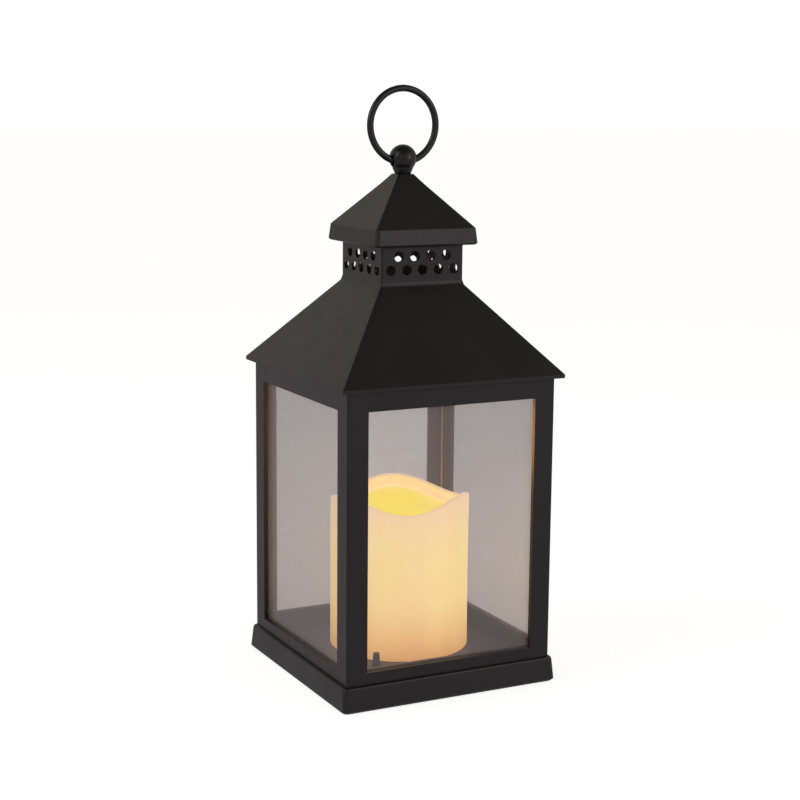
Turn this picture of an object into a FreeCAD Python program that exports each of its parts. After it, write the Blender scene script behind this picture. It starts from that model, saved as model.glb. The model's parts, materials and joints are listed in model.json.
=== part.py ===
"""Small square lantern with a solar-charged LED candle, built as separate pieces.

Millimetres, +Z up. The origin is the centre of the base, on the plane the feet stand on.
-Y is the front, and the solar panel is set in the rear (+Y) slope of the roof.
"""
import FreeCAD, Part
import math
import os
import re

import Sketcher
from FreeCAD import Vector

DIMENSIONS = {
    # base
    "foot_proud": 0.3,
    "foot_r": 4.0,
    "foot_boss_r": 4.6,
    "foot_place": 34.0,
    "plinth_low_half": 52.5,
    "plinth_top_half": 51.7,
    "plinth_top": 11.6,
    "plinth_corner": 2.2,
    "plinth_shoulder": 1.3,
    "plinth_foot_edge": 1.0,
    "plinth_wall": 2.0,
    "floor_top": 11.2,
    "floor_thick": 2.0,
    "curb_outer": 46.8,
    "curb_inner": 45.3,
    "curb_top": 17.2,
    "peg_x": 25.5,
    "peg_y": 28.7,
    "peg_foot_r": 1.9,
    "peg_head_r": 1.4,
    "peg_rise": 6.1,
    # frame
    "frame_half": 50.0,
    "frame_wall": 2.0,
    "frame_edge": 0.8,
    "frame_top": 138.2,
    "flange_thick": 2.0,
    "flange_open_half": 39.0,
    "post_wide": 9.7,
    "window_low": 16.7,
    "window_high": 129.5,
    "boss_wide": 6.2,
    "boss_top": 17.0,
    "lip_drop": 5.2,
    "pane_half": 46.2,
    "pane_thick": 1.0,
    "pane_gap": 0.1,
    # roof and vent
    "eave_half": 53.45,
    "lip_top": 139.7,
    "collar_half": 20.0,
    "collar_foot": 177.8,
    "collar_top": 194.85,
    "collar_fillet": 1.5,
    "collar_wall": 1.3,
    "roof_wall": 2.0,
    "roof_open_half": 38.0,
    "roof_floor_top": 140.2,
    "vent_r": 2.3,
    "vent_pitch": 7.7,
    "vent_low": 184.4,
    "vent_high": 190.4,
    # cap
    "fascia_low_half": 25.0,
    "fascia_top_half": 24.3,
    "fascia_top": 202.1,
    "cap_mid_half": 7.4,
    "cap_mid": 220.5,
    "cap_head_half": 3.8,
    "cap_head": 224.8,
    "cap_corner": 1.0,
    "fascia_corner": 1.8,
    "fascia_foot_edge": 0.7,
    "cap_shelf": 1.75,
    "spigot_half": 18.4,
    "spigot_wall": 1.5,
    "spigot_drop": 1.9,
    # finial and ring
    "neck_r": 4.6,
    "neck_waist": 227.4,
    "ball_r": 6.05,
    "ball_z": 231.6,
    "ring_r": 16.0,
    "wire_r": 1.5,
    "ring_z": 245.9,
    "swivel_z": 230.5,
    "channel_r": 2.3,
    "pin_r": 0.8,
    "pin_place": 4.1,
    # solar panel, measured along the slope from the top of the eave lip
    "panel_from": 9.0,
    "panel_to": 36.0,
    "panel_half": 21.0,
    "panel_thick": 1.4,
    "recess_gap": 0.4,
    "recess_depth": 1.2,
    "gasket_thick": 0.3,
    "gasket_wide": 3.0,
    # candle
    "candle_r": 31.5,
    "candle_wall": 2.5,
    "rim_mean": 80.3,
    "rim_wave": 3.0,
    "rim_turn": 70.0,
    "dish_edge": 75.0,
    "dish_low": 71.0,
    "dish_thick": 2.0,
    # works inside the candle
    "disc_thick": 2.0,
    "disc_gap": 0.3,
    "bay_half_x": 24.25,
    "bay_half_y": 5.75,
    "bay_wall": 1.5,
    "bay_low": 4.9,
    "bay_roof": 16.0,
    "cell_r": 5.25,
    "cell_long": 43.3,
    "cell_z": 10.4,
    "door_low": 3.0,
    "door_thick": 1.6,
    "door_half_y": 8.0,
    "rail_lip": 0.7,
    "board_r": 22.0,
    "board_low": 20.0,
    "board_thick": 1.6,
    "switch_y": -17.0,
    "switch_travel": 3.0,
    "post_top": 52.0,
    "lamp_r": 2.5,
    # fasteners and lead
    "screw_r": 0.95,
    "pilot_r": 1.0,
    "clear_r": 1.4,
    "head_r": 2.0,
    "head_high": 1.4,
    "candle_screw_ring": 24.0,
    "roof_screw_place": 42.3,
    "lead_r": 0.6,
    "lead_place": 47.1,
    "lead_hole_r": 1.6,
}

doc = FreeCAD.newDocument("SolarLantern")
sheet = doc.addObject("Spreadsheet::Sheet", "Dims")
for row, (alias, number) in enumerate(DIMENSIONS.items(), start=1):
    sheet.set(f"A{row}", alias)
    sheet.set(f"B{row}", str(number))
    sheet.setAlias(f"B{row}", alias)
doc.recompute()


# ---- sheet helpers -------------------------------------------------------------------

def on_sheet(text):
    """Write a sum of aliases the way an expression names them."""
    return re.sub(r"[a-z_]+", lambda word: "Dims." + word[0] if word[0] in DIMENSIONS else word[0], text)


def size(text):
    """The sum's value now, in millimetres."""
    return float(sheet.evalExpression(on_sheet(text)))


def bind(item, prop, text):
    item.setExpression(prop, on_sheet(text))


# ---- sketch helpers ------------------------------------------------------------------

def new_body(name):
    body = doc.addObject("PartDesign::Body", name)
    body.Label = name
    return body


def origin_item(body, role):
    return next(item for item in body.Origin.OriginFeatures if item.Role == role)


def new_sketch(body, name, plane="XY_Plane", offset="0"):
    """Put an empty sketch on one of the body's origin planes, moved along the plane's normal."""
    sketch = body.newObject("Sketcher::SketchObject", name)
    sketch.AttachmentSupport = [(origin_item(body, plane), "")]
    sketch.MapMode = "FlatFace"
    bind(sketch, "AttachmentOffset.Base.z", offset)
    return sketch


def hold(sketch, kind, text, *where):
    """Add one dimension to the sketch and bind it to the sheet."""
    index = sketch.addConstraint(Sketcher.Constraint(kind, *where, size(text)))
    sketch.setExpression(f"Constraints[{index}]", on_sheet(text))


def hold_point(sketch, edge, end, x, y):
    hold(sketch, "DistanceX", x, -1, 1, edge, end)
    hold(sketch, "DistanceY", y, -1, 1, edge, end)


def circle(sketch, radius, x="0", y="0"):
    centre = Vector(size(x), size(y), 0)
    edge = sketch.addGeometry(Part.Circle(centre, Vector(0, 0, 1), size(radius)), False)
    hold_point(sketch, edge, 3, x, y)
    hold(sketch, "Radius", radius, edge)


def outline(sketch, corners, arcs=None):
    """Close an outline through the corners.

    arcs maps an edge's number to (centre x, centre y, radius, turn), where turn is 1 for
    an arc that runs anticlockwise and -1 for a clockwise one. Every other edge is straight.
    """
    arcs = arcs or {}
    points = [Vector(size(x), size(y), 0) for x, y in corners]
    ends = []
    for number, start in enumerate(points):
        finish = points[(number + 1) % len(points)]
        if number not in arcs:
            edge = sketch.addGeometry(Part.LineSegment(start, finish), False)
            ends.append((edge, 1, 2))
            continue
        x, y, radius, turn = arcs[number]
        centre = Vector(size(x), size(y), 0)
        first, last = (start, finish) if turn > 0 else (finish, start)
        angles = [math.atan2(point.y - centre.y, point.x - centre.x) for point in (first, last)]
        round_edge = Part.Circle(centre, Vector(0, 0, 1), size(radius))
        edge = sketch.addGeometry(Part.ArcOfCircle(round_edge, *angles), False)
        ends.append((edge, 1, 2) if turn > 0 else (edge, 2, 1))
        hold(sketch, "Radius", radius, edge)
    for number, (edge, start_end, finish_end) in enumerate(ends):
        following = ends[(number + 1) % len(ends)]
        joined = Sketcher.Constraint("Coincident", edge, finish_end, following[0], following[1])
        sketch.addConstraint(joined)
        hold_point(sketch, edge, start_end, *corners[number])


def rectangle(sketch, low_x, low_y, high_x, high_y):
    outline(sketch, [(low_x, low_y), (high_x, low_y), (high_x, high_y), (low_x, high_y)])


def square(sketch, half):
    rectangle(sketch, f"-({half})", f"-({half})", half, half)


def rounded_square(sketch, half, radius):
    """A square about the origin with rounded corners, anticlockwise from its front edge."""
    flat = f"({half}) - ({radius})"
    corners = []
    arcs = {}
    for quarter in range(4):
        arrive = turned(f"-({flat})", f"-({half})", quarter)
        leave = turned(flat, f"-({half})", quarter)
        arcs[len(corners) + 1] = (*turned(flat, f"-({flat})", quarter), radius, 1)
        corners += [arrive, leave]
    outline(sketch, corners, arcs)


def turned(x, y, quarter):
    """The point after that many quarter turns about the origin."""
    for _ in range(quarter):
        x, y = f"-({y})", x
    return x, y


# ---- feature helpers -----------------------------------------------------------------

def swept(body, kind, name, sketch, length, both_ways=False, reverse=False):
    """A pad or pocket of the sketch. It stops the build if it doesn't change the solid."""
    before = body.Shape.Volume if body.Tip else 0.0
    feature = body.newObject(kind, name)
    feature.Profile = sketch
    bind(feature, "Length", length)
    feature.Reversed = reverse
    if both_ways:
        feature.SideType = "Symmetric"
    doc.recompute()
    grown = body.Shape.Volume - before
    wanted = 1 if kind == "PartDesign::Pad" else -1
    if grown * wanted < 0.001:
        raise RuntimeError(f"{body.Label}: {name} doesn't change the solid")
    return feature


def pad(body, name, sketch, length, **options):
    return swept(body, "PartDesign::Pad", name, sketch, length, **options)


def pocket(body, name, sketch, length, **options):
    return swept(body, "PartDesign::Pocket", name, sketch, length, **options)


def revolve(body, name, sketch, axis="V_Axis"):
    feature = body.newObject("PartDesign::Revolution", name)
    feature.Profile = sketch
    feature.ReferenceAxis = (sketch, [axis])
    feature.Angle = 360
    doc.recompute()
    return feature


def loft(body, name, sketches, cut=False):
    feature = body.newObject("PartDesign::SubtractiveLoft" if cut else "PartDesign::AdditiveLoft", name)
    feature.Profile = sketches[0]
    feature.Sections = sketches[1:]
    feature.Ruled = True
    doc.recompute()
    return feature


def four_times(body, name, features):
    """Repeat the features at every quarter turn about the vertical axis."""
    pattern = body.newObject("PartDesign::PolarPattern", name)
    pattern.Originals = features
    pattern.Axis = (origin_item(body, "Z_Axis"), [""])
    pattern.Angle = 360
    pattern.Occurrences = 4
    body.Tip = pattern
    doc.recompute()
    return pattern


def pyramid(body, name, sections, cut=False):
    """A ruled loft of squares. A section is (half width, height, corner radius or None)."""
    sketches = []
    for half, height, radius in sections:
        sketch = new_sketch(body, name + "_section", offset=height)
        if radius:
            rounded_square(sketch, half, radius)
        else:
            square(sketch, half)
        sketches.append(sketch)
    return loft(body, name, sketches, cut)


def disc_sketch(body, name, radius, x="0", y="0", offset="0", plane="XY_Plane"):
    sketch = new_sketch(body, name, plane, offset)
    circle(sketch, radius, x, y)
    return sketch


def box_sketch(body, name, low_x, low_y, high_x, high_y, offset="0", plane="XY_Plane"):
    sketch = new_sketch(body, name, plane, offset)
    rectangle(sketch, low_x, low_y, high_x, high_y)
    return sketch


def block(name, low, high):
    """A plain box node between two corners."""
    box = doc.addObject("Part::Box", name)
    box.Label = name
    for side, axis, start, finish in zip(("Length", "Width", "Height"), "xyz", low, high):
        bind(box, side, f"({finish}) - ({start})")
        bind(box, f"Placement.Base.{axis}", start)
    return box


def fused(name, pieces):
    group = doc.addObject("Part::Compound", name)
    group.Label = name
    group.Links = pieces
    return group


# ---- roof slope ----------------------------------------------------------------------

SLOPE_RUN = "(eave_half - collar_half)"
SLOPE_RISE = "(collar_foot - lip_top)"
SLOPE_LONG = f"sqrt({SLOPE_RUN} * {SLOPE_RUN} + {SLOPE_RISE} * {SLOPE_RISE})"
WALL_ACROSS = f"(roof_wall * {SLOPE_LONG} / {SLOPE_RISE})"


def slope_point(along, out):
    """A point in the YZ plane: along the rear slope from the eave, and out from its face."""
    y = f"eave_half - ({along}) * {SLOPE_RUN} / {SLOPE_LONG} + ({out}) * {SLOPE_RISE} / {SLOPE_LONG}"
    z = f"lip_top + ({along}) * {SLOPE_RISE} / {SLOPE_LONG} + ({out}) * {SLOPE_RUN} / {SLOPE_LONG}"
    return y, z


def slope_half(height):
    """Half width of the roof's outside at a height."""
    return f"(eave_half - (({height}) - lip_top) * {SLOPE_RUN} / {SLOPE_RISE})"


def slope_sketch(body, name, along_from, along_to, out_from, out_to):
    sketch = new_sketch(body, name, "YZ_Plane")
    outline(sketch, [slope_point(along_from, out_from), slope_point(along_to, out_from),
                     slope_point(along_to, out_to), slope_point(along_from, out_to)])
    return sketch


# ---- places that several pieces share ------------------------------------------------

BOSS_INNER = "(frame_half - frame_wall - boss_wide)"
BOSS_CENTRE = "(lead_place - 2.7)"
LEAD_RISE = ("17.5", "15.1")


# ---- base ----------------------------------------------------------------------------

def base_plinth():
    body = new_body("base_plinth")
    pyramid(body, "wall", [("plinth_low_half - plinth_foot_edge", "foot_proud", "plinth_corner"),
                           ("plinth_low_half", "foot_proud + plinth_foot_edge", "plinth_corner"),
                           ("plinth_top_half", "plinth_top - plinth_shoulder", "plinth_corner"),
                           ("plinth_top_half - 0.3 * plinth_shoulder", "plinth_top - 0.3 * plinth_shoulder",
                            "plinth_corner"),
                           ("plinth_top_half - plinth_shoulder", "plinth_top", "plinth_corner")])
    seat = new_sketch(body, "frame_seat_outline", offset="plinth_top")
    square(seat, "frame_half + pane_gap")
    pocket(body, "frame_seat", seat, "plinth_top - floor_top")
    under = new_sketch(body, "underside_outline", offset="foot_proud")
    square(under, "plinth_top_half - plinth_wall")
    pocket(body, "underside", under, "floor_top - floor_thick - foot_proud", reverse=True)
    curb_half = f"({BOSS_INNER} - 0.3)"
    curb = box_sketch(body, "curb_outline", f"-{curb_half}", "-curb_outer", curb_half, "-curb_inner",
                      offset="floor_top")
    curb_side = pad(body, "curb", curb, "curb_top - floor_top")
    boss = disc_sketch(body, "foot_boss_outline", "foot_boss_r", "foot_place", "foot_place",
                       "floor_top - floor_thick")
    foot_boss = pad(body, "foot_boss", boss, "floor_top - floor_thick - foot_proud", reverse=True)
    screw_hole = disc_sketch(body, "screw_hole_outline", "clear_r", BOSS_CENTRE, BOSS_CENTRE, "floor_top")
    base_hole = pocket(body, "screw_hole", screw_hole, "floor_thick")
    four_times(body, "sides", [curb_side, foot_boss, base_hole])
    add_pegs(body)
    cut_candle_openings(body)
    corner = ("lead_place - 0.1", "lead_place - 0.3")
    cut_hole(body, "lead_hole", "lead_hole_r", *corner, "floor_top", "floor_thick")
    cut_hole(body, "lead_rise_hole", "lead_hole_r", *LEAD_RISE, "floor_top", "floor_thick")


def add_pegs(body):
    """Two rounded pegs that locate the candle when it is dropped in."""
    for name, side in (("front", "-1"), ("rear", "1")):
        place = (f"{side} * peg_x", f"{side} * peg_y")
        low = disc_sketch(body, f"peg_{name}_foot", "peg_foot_r", *place, "floor_top - 0.5")
        high = disc_sketch(body, f"peg_{name}_head", "peg_head_r", *place, "floor_top + peg_rise")
        loft(body, f"peg_{name}", [low, high])


def cut_candle_openings(body):
    half_x, half_y = "(bay_half_x + bay_wall + 0.4)", "(bay_half_y + bay_wall + 0.4)"
    tray = box_sketch(body, "tray_opening_outline", f"-{half_x}", f"-{half_y}", half_x, half_y,
                      offset="floor_top")
    pocket(body, "tray_opening", tray, "floor_thick")
    slot = box_sketch(body, "switch_slot_outline", "-(switch_travel + 2.4)", "switch_y - 1.5",
                      "2.4", "switch_y + 1.5", offset="floor_top")
    pocket(body, "switch_slot", slot, "floor_thick")
    holes = new_sketch(body, "candle_screw_outline", offset="floor_top")
    for x, y in candle_screw_places():
        circle(holes, "clear_r", x, y)
    pocket(body, "candle_screw_holes", holes, "floor_thick")


def cut_hole(body, name, radius, x, y, top, depth):
    hole = disc_sketch(body, name + "_outline", radius, x, y, top)
    pocket(body, name, hole, depth)


def feet():
    """Four rubber pads under the foot bosses."""
    body = new_body("feet")
    pads = new_sketch(body, "pads_outline")
    for quarter in range(4):
        circle(pads, "foot_r", *turned("foot_place", "foot_place", quarter))
    feature = body.newObject("PartDesign::Pad", "pads")
    feature.Profile = pads
    bind(feature, "Length", "foot_proud")
    doc.recompute()


# ---- frame and panes -----------------------------------------------------------------

def wall_frame():
    body = new_body("wall_frame")
    outside = new_sketch(body, "outside_outline", offset="floor_top")
    rounded_square(outside, "frame_half", "frame_edge")
    pad(body, "outside", outside, "frame_top - floor_top")
    inside = new_sketch(body, "inside_outline", offset="floor_top")
    square(inside, "frame_half - frame_wall")
    pocket(body, "inside", inside, "frame_top - flange_thick - floor_top", reverse=True)
    opening = new_sketch(body, "top_opening_outline", offset="frame_top")
    square(opening, "flange_open_half")
    pocket(body, "top_opening", opening, "flange_thick")
    boss = box_sketch(body, "boss_outline", BOSS_INNER, BOSS_INNER, "frame_half - frame_wall",
                      "frame_half - frame_wall", offset="floor_top")
    boss_pad = pad(body, "boss", boss, "boss_top - floor_top")
    lip = box_sketch(body, "pane_lip_outline", "-(curb_inner - 1.5)", "curb_inner", "curb_inner - 1.5",
                     "curb_outer", offset="frame_top - flange_thick")
    lip_pad = pad(body, "pane_lip", lip, "lip_drop", reverse=True)
    pilot = disc_sketch(body, "base_screw_pilot_outline", "pilot_r", BOSS_CENTRE, BOSS_CENTRE, "floor_top")
    pilot_hole = pocket(body, "base_screw_pilot", pilot, "boss_top - floor_top - 0.8", reverse=True)
    clear = disc_sketch(body, "roof_screw_hole_outline", "clear_r", "0", "roof_screw_place", "frame_top")
    roof_hole = pocket(body, "roof_screw_hole", clear, "flange_thick")
    four_times(body, "sides", [boss_pad, lip_pad, pilot_hole, roof_hole])
    for name, plane in (("front_rear_windows", "XZ_Plane"), ("side_windows", "YZ_Plane")):
        window = box_sketch(body, name + "_outline", "-(frame_half - post_wide)", "window_low",
                            "frame_half - post_wide", "window_high", plane=plane)
        pocket(body, name, window, "2 * frame_half + 2", both_ways=True)
    notch = ("lead_place - 1.2", "lead_place - 1.2", "frame_half - frame_wall", "frame_half - frame_wall")
    flange_notch = box_sketch(body, "flange_lead_notch_outline", *notch, offset="frame_top")
    pocket(body, "flange_lead_notch", flange_notch, "flange_thick")
    boss_notch = box_sketch(body, "boss_lead_notch_outline", *notch, offset="boss_top")
    pocket(body, "boss_lead_notch", boss_notch, "boss_top - floor_top")


def panes():
    """Four clear sheets, each in the gap between a wall and the base's curb."""
    for name, plane, side in (("pane_front", "XZ_Plane", "1"), ("pane_rear", "XZ_Plane", "-1"),
                              ("pane_left", "YZ_Plane", "-1"), ("pane_right", "YZ_Plane", "1")):
        body = new_body(name)
        middle = "(frame_half - frame_wall - pane_gap - pane_thick / 2)"
        sheet_outline = new_sketch(body, name + "_outline", plane, f"{side} * {middle}")
        outline(sheet_outline, pane_corners())
        pad(body, name + "_sheet", sheet_outline, "pane_thick", both_ways=True)


def pane_corners():
    """A rectangle with its two lower corners notched to clear the screw bosses."""
    notch_x = f"({BOSS_INNER} - 0.3)"
    notch_z = "boss_top + 0.3"
    low, high = "floor_top + pane_gap", "frame_top - flange_thick - pane_gap"
    right = [(notch_x, low), (notch_x, notch_z), ("pane_half", notch_z), ("pane_half", high)]
    left = [(f"-({x})", z) for x, z in reversed(right)]
    return right + left


# ---- roof, cap -----------------------------------------------------------------------

def roof():
    body = new_body("roof")
    lip = new_sketch(body, "eave_lip_outline", offset="frame_top")
    rounded_square(lip, "eave_half", "cap_corner")
    pad(body, "eave_lip", lip, "lip_top - frame_top")
    sweep = "collar_foot - collar_fillet / 2"
    pyramid(body, "slopes", [("eave_half", "lip_top", "cap_corner"),
                             (slope_half(sweep), sweep, "cap_corner"),
                             ("collar_half + 0.2 * collar_fillet", "collar_foot + 0.3 * collar_fillet",
                              "cap_corner"),
                             ("collar_half", "collar_foot + collar_fillet", "cap_corner"),
                             ("collar_half", "collar_top", "cap_corner")])
    inner_top = "collar_foot - roof_wall"
    pyramid(body, "hollow", [(f"{slope_half('roof_floor_top')} - {WALL_ACROSS}", "roof_floor_top", None),
                             (f"{slope_half(inner_top)} - {WALL_ACROSS}", inner_top, None)], cut=True)
    throat = new_sketch(body, "throat_outline", offset="collar_top")
    square(throat, "collar_half - collar_wall")
    pocket(body, "throat", throat, "collar_top - collar_foot + 2 * roof_wall")
    opening = new_sketch(body, "opening_outline", offset="roof_floor_top")
    square(opening, "roof_open_half")
    pocket(body, "opening", opening, "roof_floor_top - frame_top")
    boss = disc_sketch(body, "screw_boss_outline", "2.6", "0", "roof_screw_place", "roof_floor_top")
    boss_pad = pad(body, "screw_boss", boss, "5.5")
    pilot = disc_sketch(body, "screw_pilot_outline", "pilot_r", "0", "roof_screw_place", "frame_top")
    pilot_hole = pocket(body, "screw_pilot", pilot, "6.5", reverse=True)
    four_times(body, "sides", [boss_pad, pilot_hole])
    cut_vents(body)
    cut_panel_seat(body)
    corner = ("lead_place - 0.4", "lead_place - 0.4")
    cut_hole(body, "lead_hole", "lead_hole_r", *corner, "roof_floor_top", "roof_floor_top - frame_top")


def cut_vents(body):
    """A lower row of five holes and an upper row of four, through each pair of walls."""
    for name, plane in (("front_rear_vents", "XZ_Plane"), ("side_vents", "YZ_Plane")):
        holes = new_sketch(body, name + "_outline", plane)
        for step in (-2, -1, 0, 1, 2):
            circle(holes, "vent_r", f"{step} * vent_pitch", "vent_low")
        for step in (-1.5, -0.5, 0.5, 1.5):
            circle(holes, "vent_r", f"{step} * vent_pitch", "vent_high")
        pocket(body, name, holes, "2 * collar_half + 2", both_ways=True)


def cut_panel_seat(body):
    """Thicken the rear slope from inside, then sink the seat that the panel is bonded in."""
    backing = slope_sketch(body, "panel_backing_outline", "panel_from - 2", "panel_to + 2",
                           "-roof_wall - 1.4", "-roof_wall / 2")
    pad(body, "panel_backing", backing, "2 * panel_half + 4", both_ways=True)
    seat = slope_sketch(body, "panel_seat_outline", "panel_from - recess_gap", "panel_to + recess_gap",
                        "-recess_depth", "2")
    pocket(body, "panel_seat", seat, "2 * (panel_half + recess_gap)", both_ways=True)
    middle = "(panel_from + panel_to) / 2"
    hole = slope_sketch(body, "panel_lead_hole_outline", f"{middle} - 2", f"{middle} + 2",
                        "-roof_wall - 2", "0")
    pocket(body, "panel_lead_hole", hole, "4", both_ways=True)


def cap():
    body = new_body("cap")
    pyramid(body, "outside", [("fascia_low_half - fascia_foot_edge", "collar_top", "fascia_corner"),
                              ("fascia_low_half", "collar_top + fascia_foot_edge", "fascia_corner"),
                              ("fascia_top_half", "fascia_top", "fascia_corner"),
                              ("cap_mid_half", "cap_mid", "cap_corner"),
                              ("cap_head_half", "cap_head", "cap_corner")])
    pyramid(body, "hollow", [("fascia_low_half - 2.1", "collar_top + cap_shelf", None),
                             ("fascia_top_half - 2.1", "fascia_top - 0.6", None),
                             ("cap_head_half - 1", "cap_mid - 1.6", None)], cut=True)
    spigot = new_sketch(body, "spigot_outline", offset="collar_top")
    square(spigot, "spigot_half")
    pad(body, "spigot", spigot, "spigot_drop", reverse=True)
    throat = new_sketch(body, "throat_outline", offset="collar_top - spigot_drop")
    square(throat, "spigot_half - spigot_wall")
    pocket(body, "throat", throat, "spigot_drop + cap_shelf", reverse=True)
    hole = disc_sketch(body, "finial_screw_outline", "clear_r", offset="cap_head")
    pocket(body, "finial_screw_hole", hole, "cap_head - cap_mid + 2.2")


# ---- finial and ring -----------------------------------------------------------------

def cut_ring_channel(body):
    """The round way across the ball that the ring's wire turns in, wider at its mouths."""
    channel = disc_sketch(body, "ring_channel_outline", "channel_r", "0", "swivel_z", plane="YZ_Plane")
    pocket(body, "ring_channel", channel, "2 * ball_r + 4", both_ways=True)


def finial_base():
    """The neck and the lower half of the ball."""
    body = new_body("finial_base")
    profile = new_sketch(body, "neck_profile", "XZ_Plane")
    neck_meet = "ball_z - sqrt(ball_r * ball_r - neck_r * neck_r)"
    outline(profile, [("0", "cap_head"), ("cap_head_half - 0.3", "cap_head"), ("neck_r", "neck_waist"),
                      ("neck_r", neck_meet), ("ball_r", "ball_z"), ("0", "ball_z")],
            {3: ("0", "ball_z", "ball_r", 1)})
    revolve(body, "neck", profile)
    cut_ring_channel(body)
    pilot = disc_sketch(body, "screw_pilot_outline", "pilot_r", offset="cap_head")
    pocket(body, "screw_pilot", pilot, "swivel_z - channel_r - cap_head - 0.8", reverse=True)
    pins = new_sketch(body, "pin_holes_outline", offset="ball_z")
    for side in ("1", "-1"):
        circle(pins, "pin_r + 0.05", "0", f"{side} * pin_place")
    pocket(body, "pin_holes", pins, "3")


def finial_top():
    """The upper half of the ball, with two pins that press into the lower half."""
    body = new_body("finial_top")
    profile = new_sketch(body, "dome_profile", "XZ_Plane")
    outline(profile, [("0", "ball_z"), ("ball_r", "ball_z"), ("0", "ball_z + ball_r")],
            {1: ("0", "ball_z", "ball_r", 1)})
    revolve(body, "dome", profile)
    cut_ring_channel(body)
    pins = new_sketch(body, "pins_outline", offset="ball_z + 0.5")
    for side in ("1", "-1"):
        circle(pins, "pin_r", "0", f"{side} * pin_place")
    pad(body, "pins", pins, "3", reverse=True)


def hanging_ring():
    ring = doc.addObject("Part::Torus", "hanging_ring")
    ring.Label = "hanging_ring"
    bind(ring, "Radius1", "ring_r")
    bind(ring, "Radius2", "wire_r")
    ring.Placement.Rotation = FreeCAD.Rotation(Vector(1, 0, 0), 90)
    bind(ring, "Placement.Base.z", "ring_z")


# ---- fasteners -----------------------------------------------------------------------

def screws(name, places, seat, length, point_up=True):
    """Round-head screws as one group. Their heads bear at the seat height."""
    body_list = []
    for number, (x, y) in enumerate(places, start=1):
        shank = doc.addObject("Part::Cylinder", f"{name}_shank_{number}")
        bind(shank, "Radius", "screw_r")
        bind(shank, "Height", f"({length}) + 0.2")
        head = doc.addObject("Part::Cone", f"{name}_head_{number}")
        bind(head, "Radius1", "head_r * 0.75")
        bind(head, "Radius2", "head_r")
        bind(head, "Height", "head_high")
        for piece, height in ((shank, f"({seat}) - 0.2"), (head, f"({seat}) - head_high")):
            bind(piece, "Placement.Base.x", x)
            bind(piece, "Placement.Base.y", y)
            bind(piece, "Placement.Base.z", height)
        screw = doc.addObject("Part::Fuse", f"{name}_{number}")
        screw.Base = head
        screw.Tool = shank
        slot = cross_slot(f"{name}_slot_{number}", x, y, f"({seat}) - head_high")
        cut = doc.addObject("Part::Cut", f"{name}_slotted_{number}")
        cut.Base = screw
        cut.Tool = slot
        body_list.append(cut)
    fused(name, body_list)


def cross_slot(name, x, y, low):
    """The driver's cross, sunk in the underside of a screw head."""
    arms = []
    for arm, (long_side, short_side) in enumerate(((1.3, 0.3), (0.3, 1.3))):
        box = doc.addObject("Part::Box", f"{name}_{arm}")
        bind(box, "Length", f"2 * {long_side}")
        bind(box, "Width", f"2 * {short_side}")
        bind(box, "Height", "head_high / 2")
        bind(box, "Placement.Base.x", f"({x}) - {long_side}")
        bind(box, "Placement.Base.y", f"({y}) - {short_side}")
        bind(box, "Placement.Base.z", low)
        arms.append(box)
    cross = doc.addObject("Part::Fuse", name)
    cross.Base, cross.Tool = arms
    return cross


def candle_screw_places():
    """Three screws round the candle, one at the rear."""
    half = "candle_screw_ring * 0.5"
    side = "candle_screw_ring * 0.8660254"
    return [("0", "candle_screw_ring"), (f"-{side}", f"-{half}"), (side, f"-{half}")]


def all_screws():
    corners = [turned(BOSS_CENTRE, BOSS_CENTRE, quarter) for quarter in range(4)]
    screws("base_screws", corners, "floor_top - floor_thick", "6.5")
    mid_sides = [turned("0", "roof_screw_place", quarter) for quarter in range(4)]
    screws("roof_screws", mid_sides, "frame_top - flange_thick", "7")
    screws("candle_screws", candle_screw_places(), "floor_top - floor_thick", "6.5")
    screws("finial_screw", [("0", "0")], "cap_mid - 1.6", "8")


# ---- solar panel ---------------------------------------------------------------------

def solar_panel():
    body = new_body("solar_panel")
    face = slope_sketch(body, "panel_outline", "panel_from", "panel_to", "gasket_thick - recess_depth",
                        "gasket_thick - recess_depth + panel_thick")
    pad(body, "panel", face, "2 * panel_half", both_ways=True)


def solar_gasket():
    """The adhesive foam frame behind the panel."""
    body = new_body("solar_gasket")
    frame = slope_sketch(body, "gasket_outline", "panel_from", "panel_to", "-recess_depth",
                         "gasket_thick - recess_depth")
    pad(body, "gasket", frame, "2 * panel_half", both_ways=True)
    opening = slope_sketch(body, "gasket_opening_outline", "panel_from + gasket_wide",
                           "panel_to - gasket_wide", "-recess_depth - 1", "1")
    pocket(body, "gasket_opening", opening, "2 * (panel_half - gasket_wide)", both_ways=True)


def lead_route():
    """Corners of the lead's route: panel, rear right corner, under the floor, candle."""
    place = size("lead_place")
    middle = "(panel_from + panel_to) / 2"
    start = slope_point(middle, "gasket_thick - recess_depth")
    inward = slope_point(middle, "-10")
    rise_x, rise_y, run_z = 17, 15, 6.4
    return [
        Vector(0, size(start[0]), size(start[1])),
        Vector(0, size(inward[0]), size(inward[1])),
        Vector(12, 27, 147),
        Vector(26, 29.5, 147.5),
        Vector(38, 38, 146.5),
        Vector(place, place, 143),
        Vector(place, place, run_z),
        Vector(place - 0.3, 35.5, run_z),
        Vector(38, 24, run_z),
        Vector(26, 16.5, run_z),
        Vector(rise_x, rise_y, run_z),
        Vector(rise_x, rise_y, size("board_low")),
    ]


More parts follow.
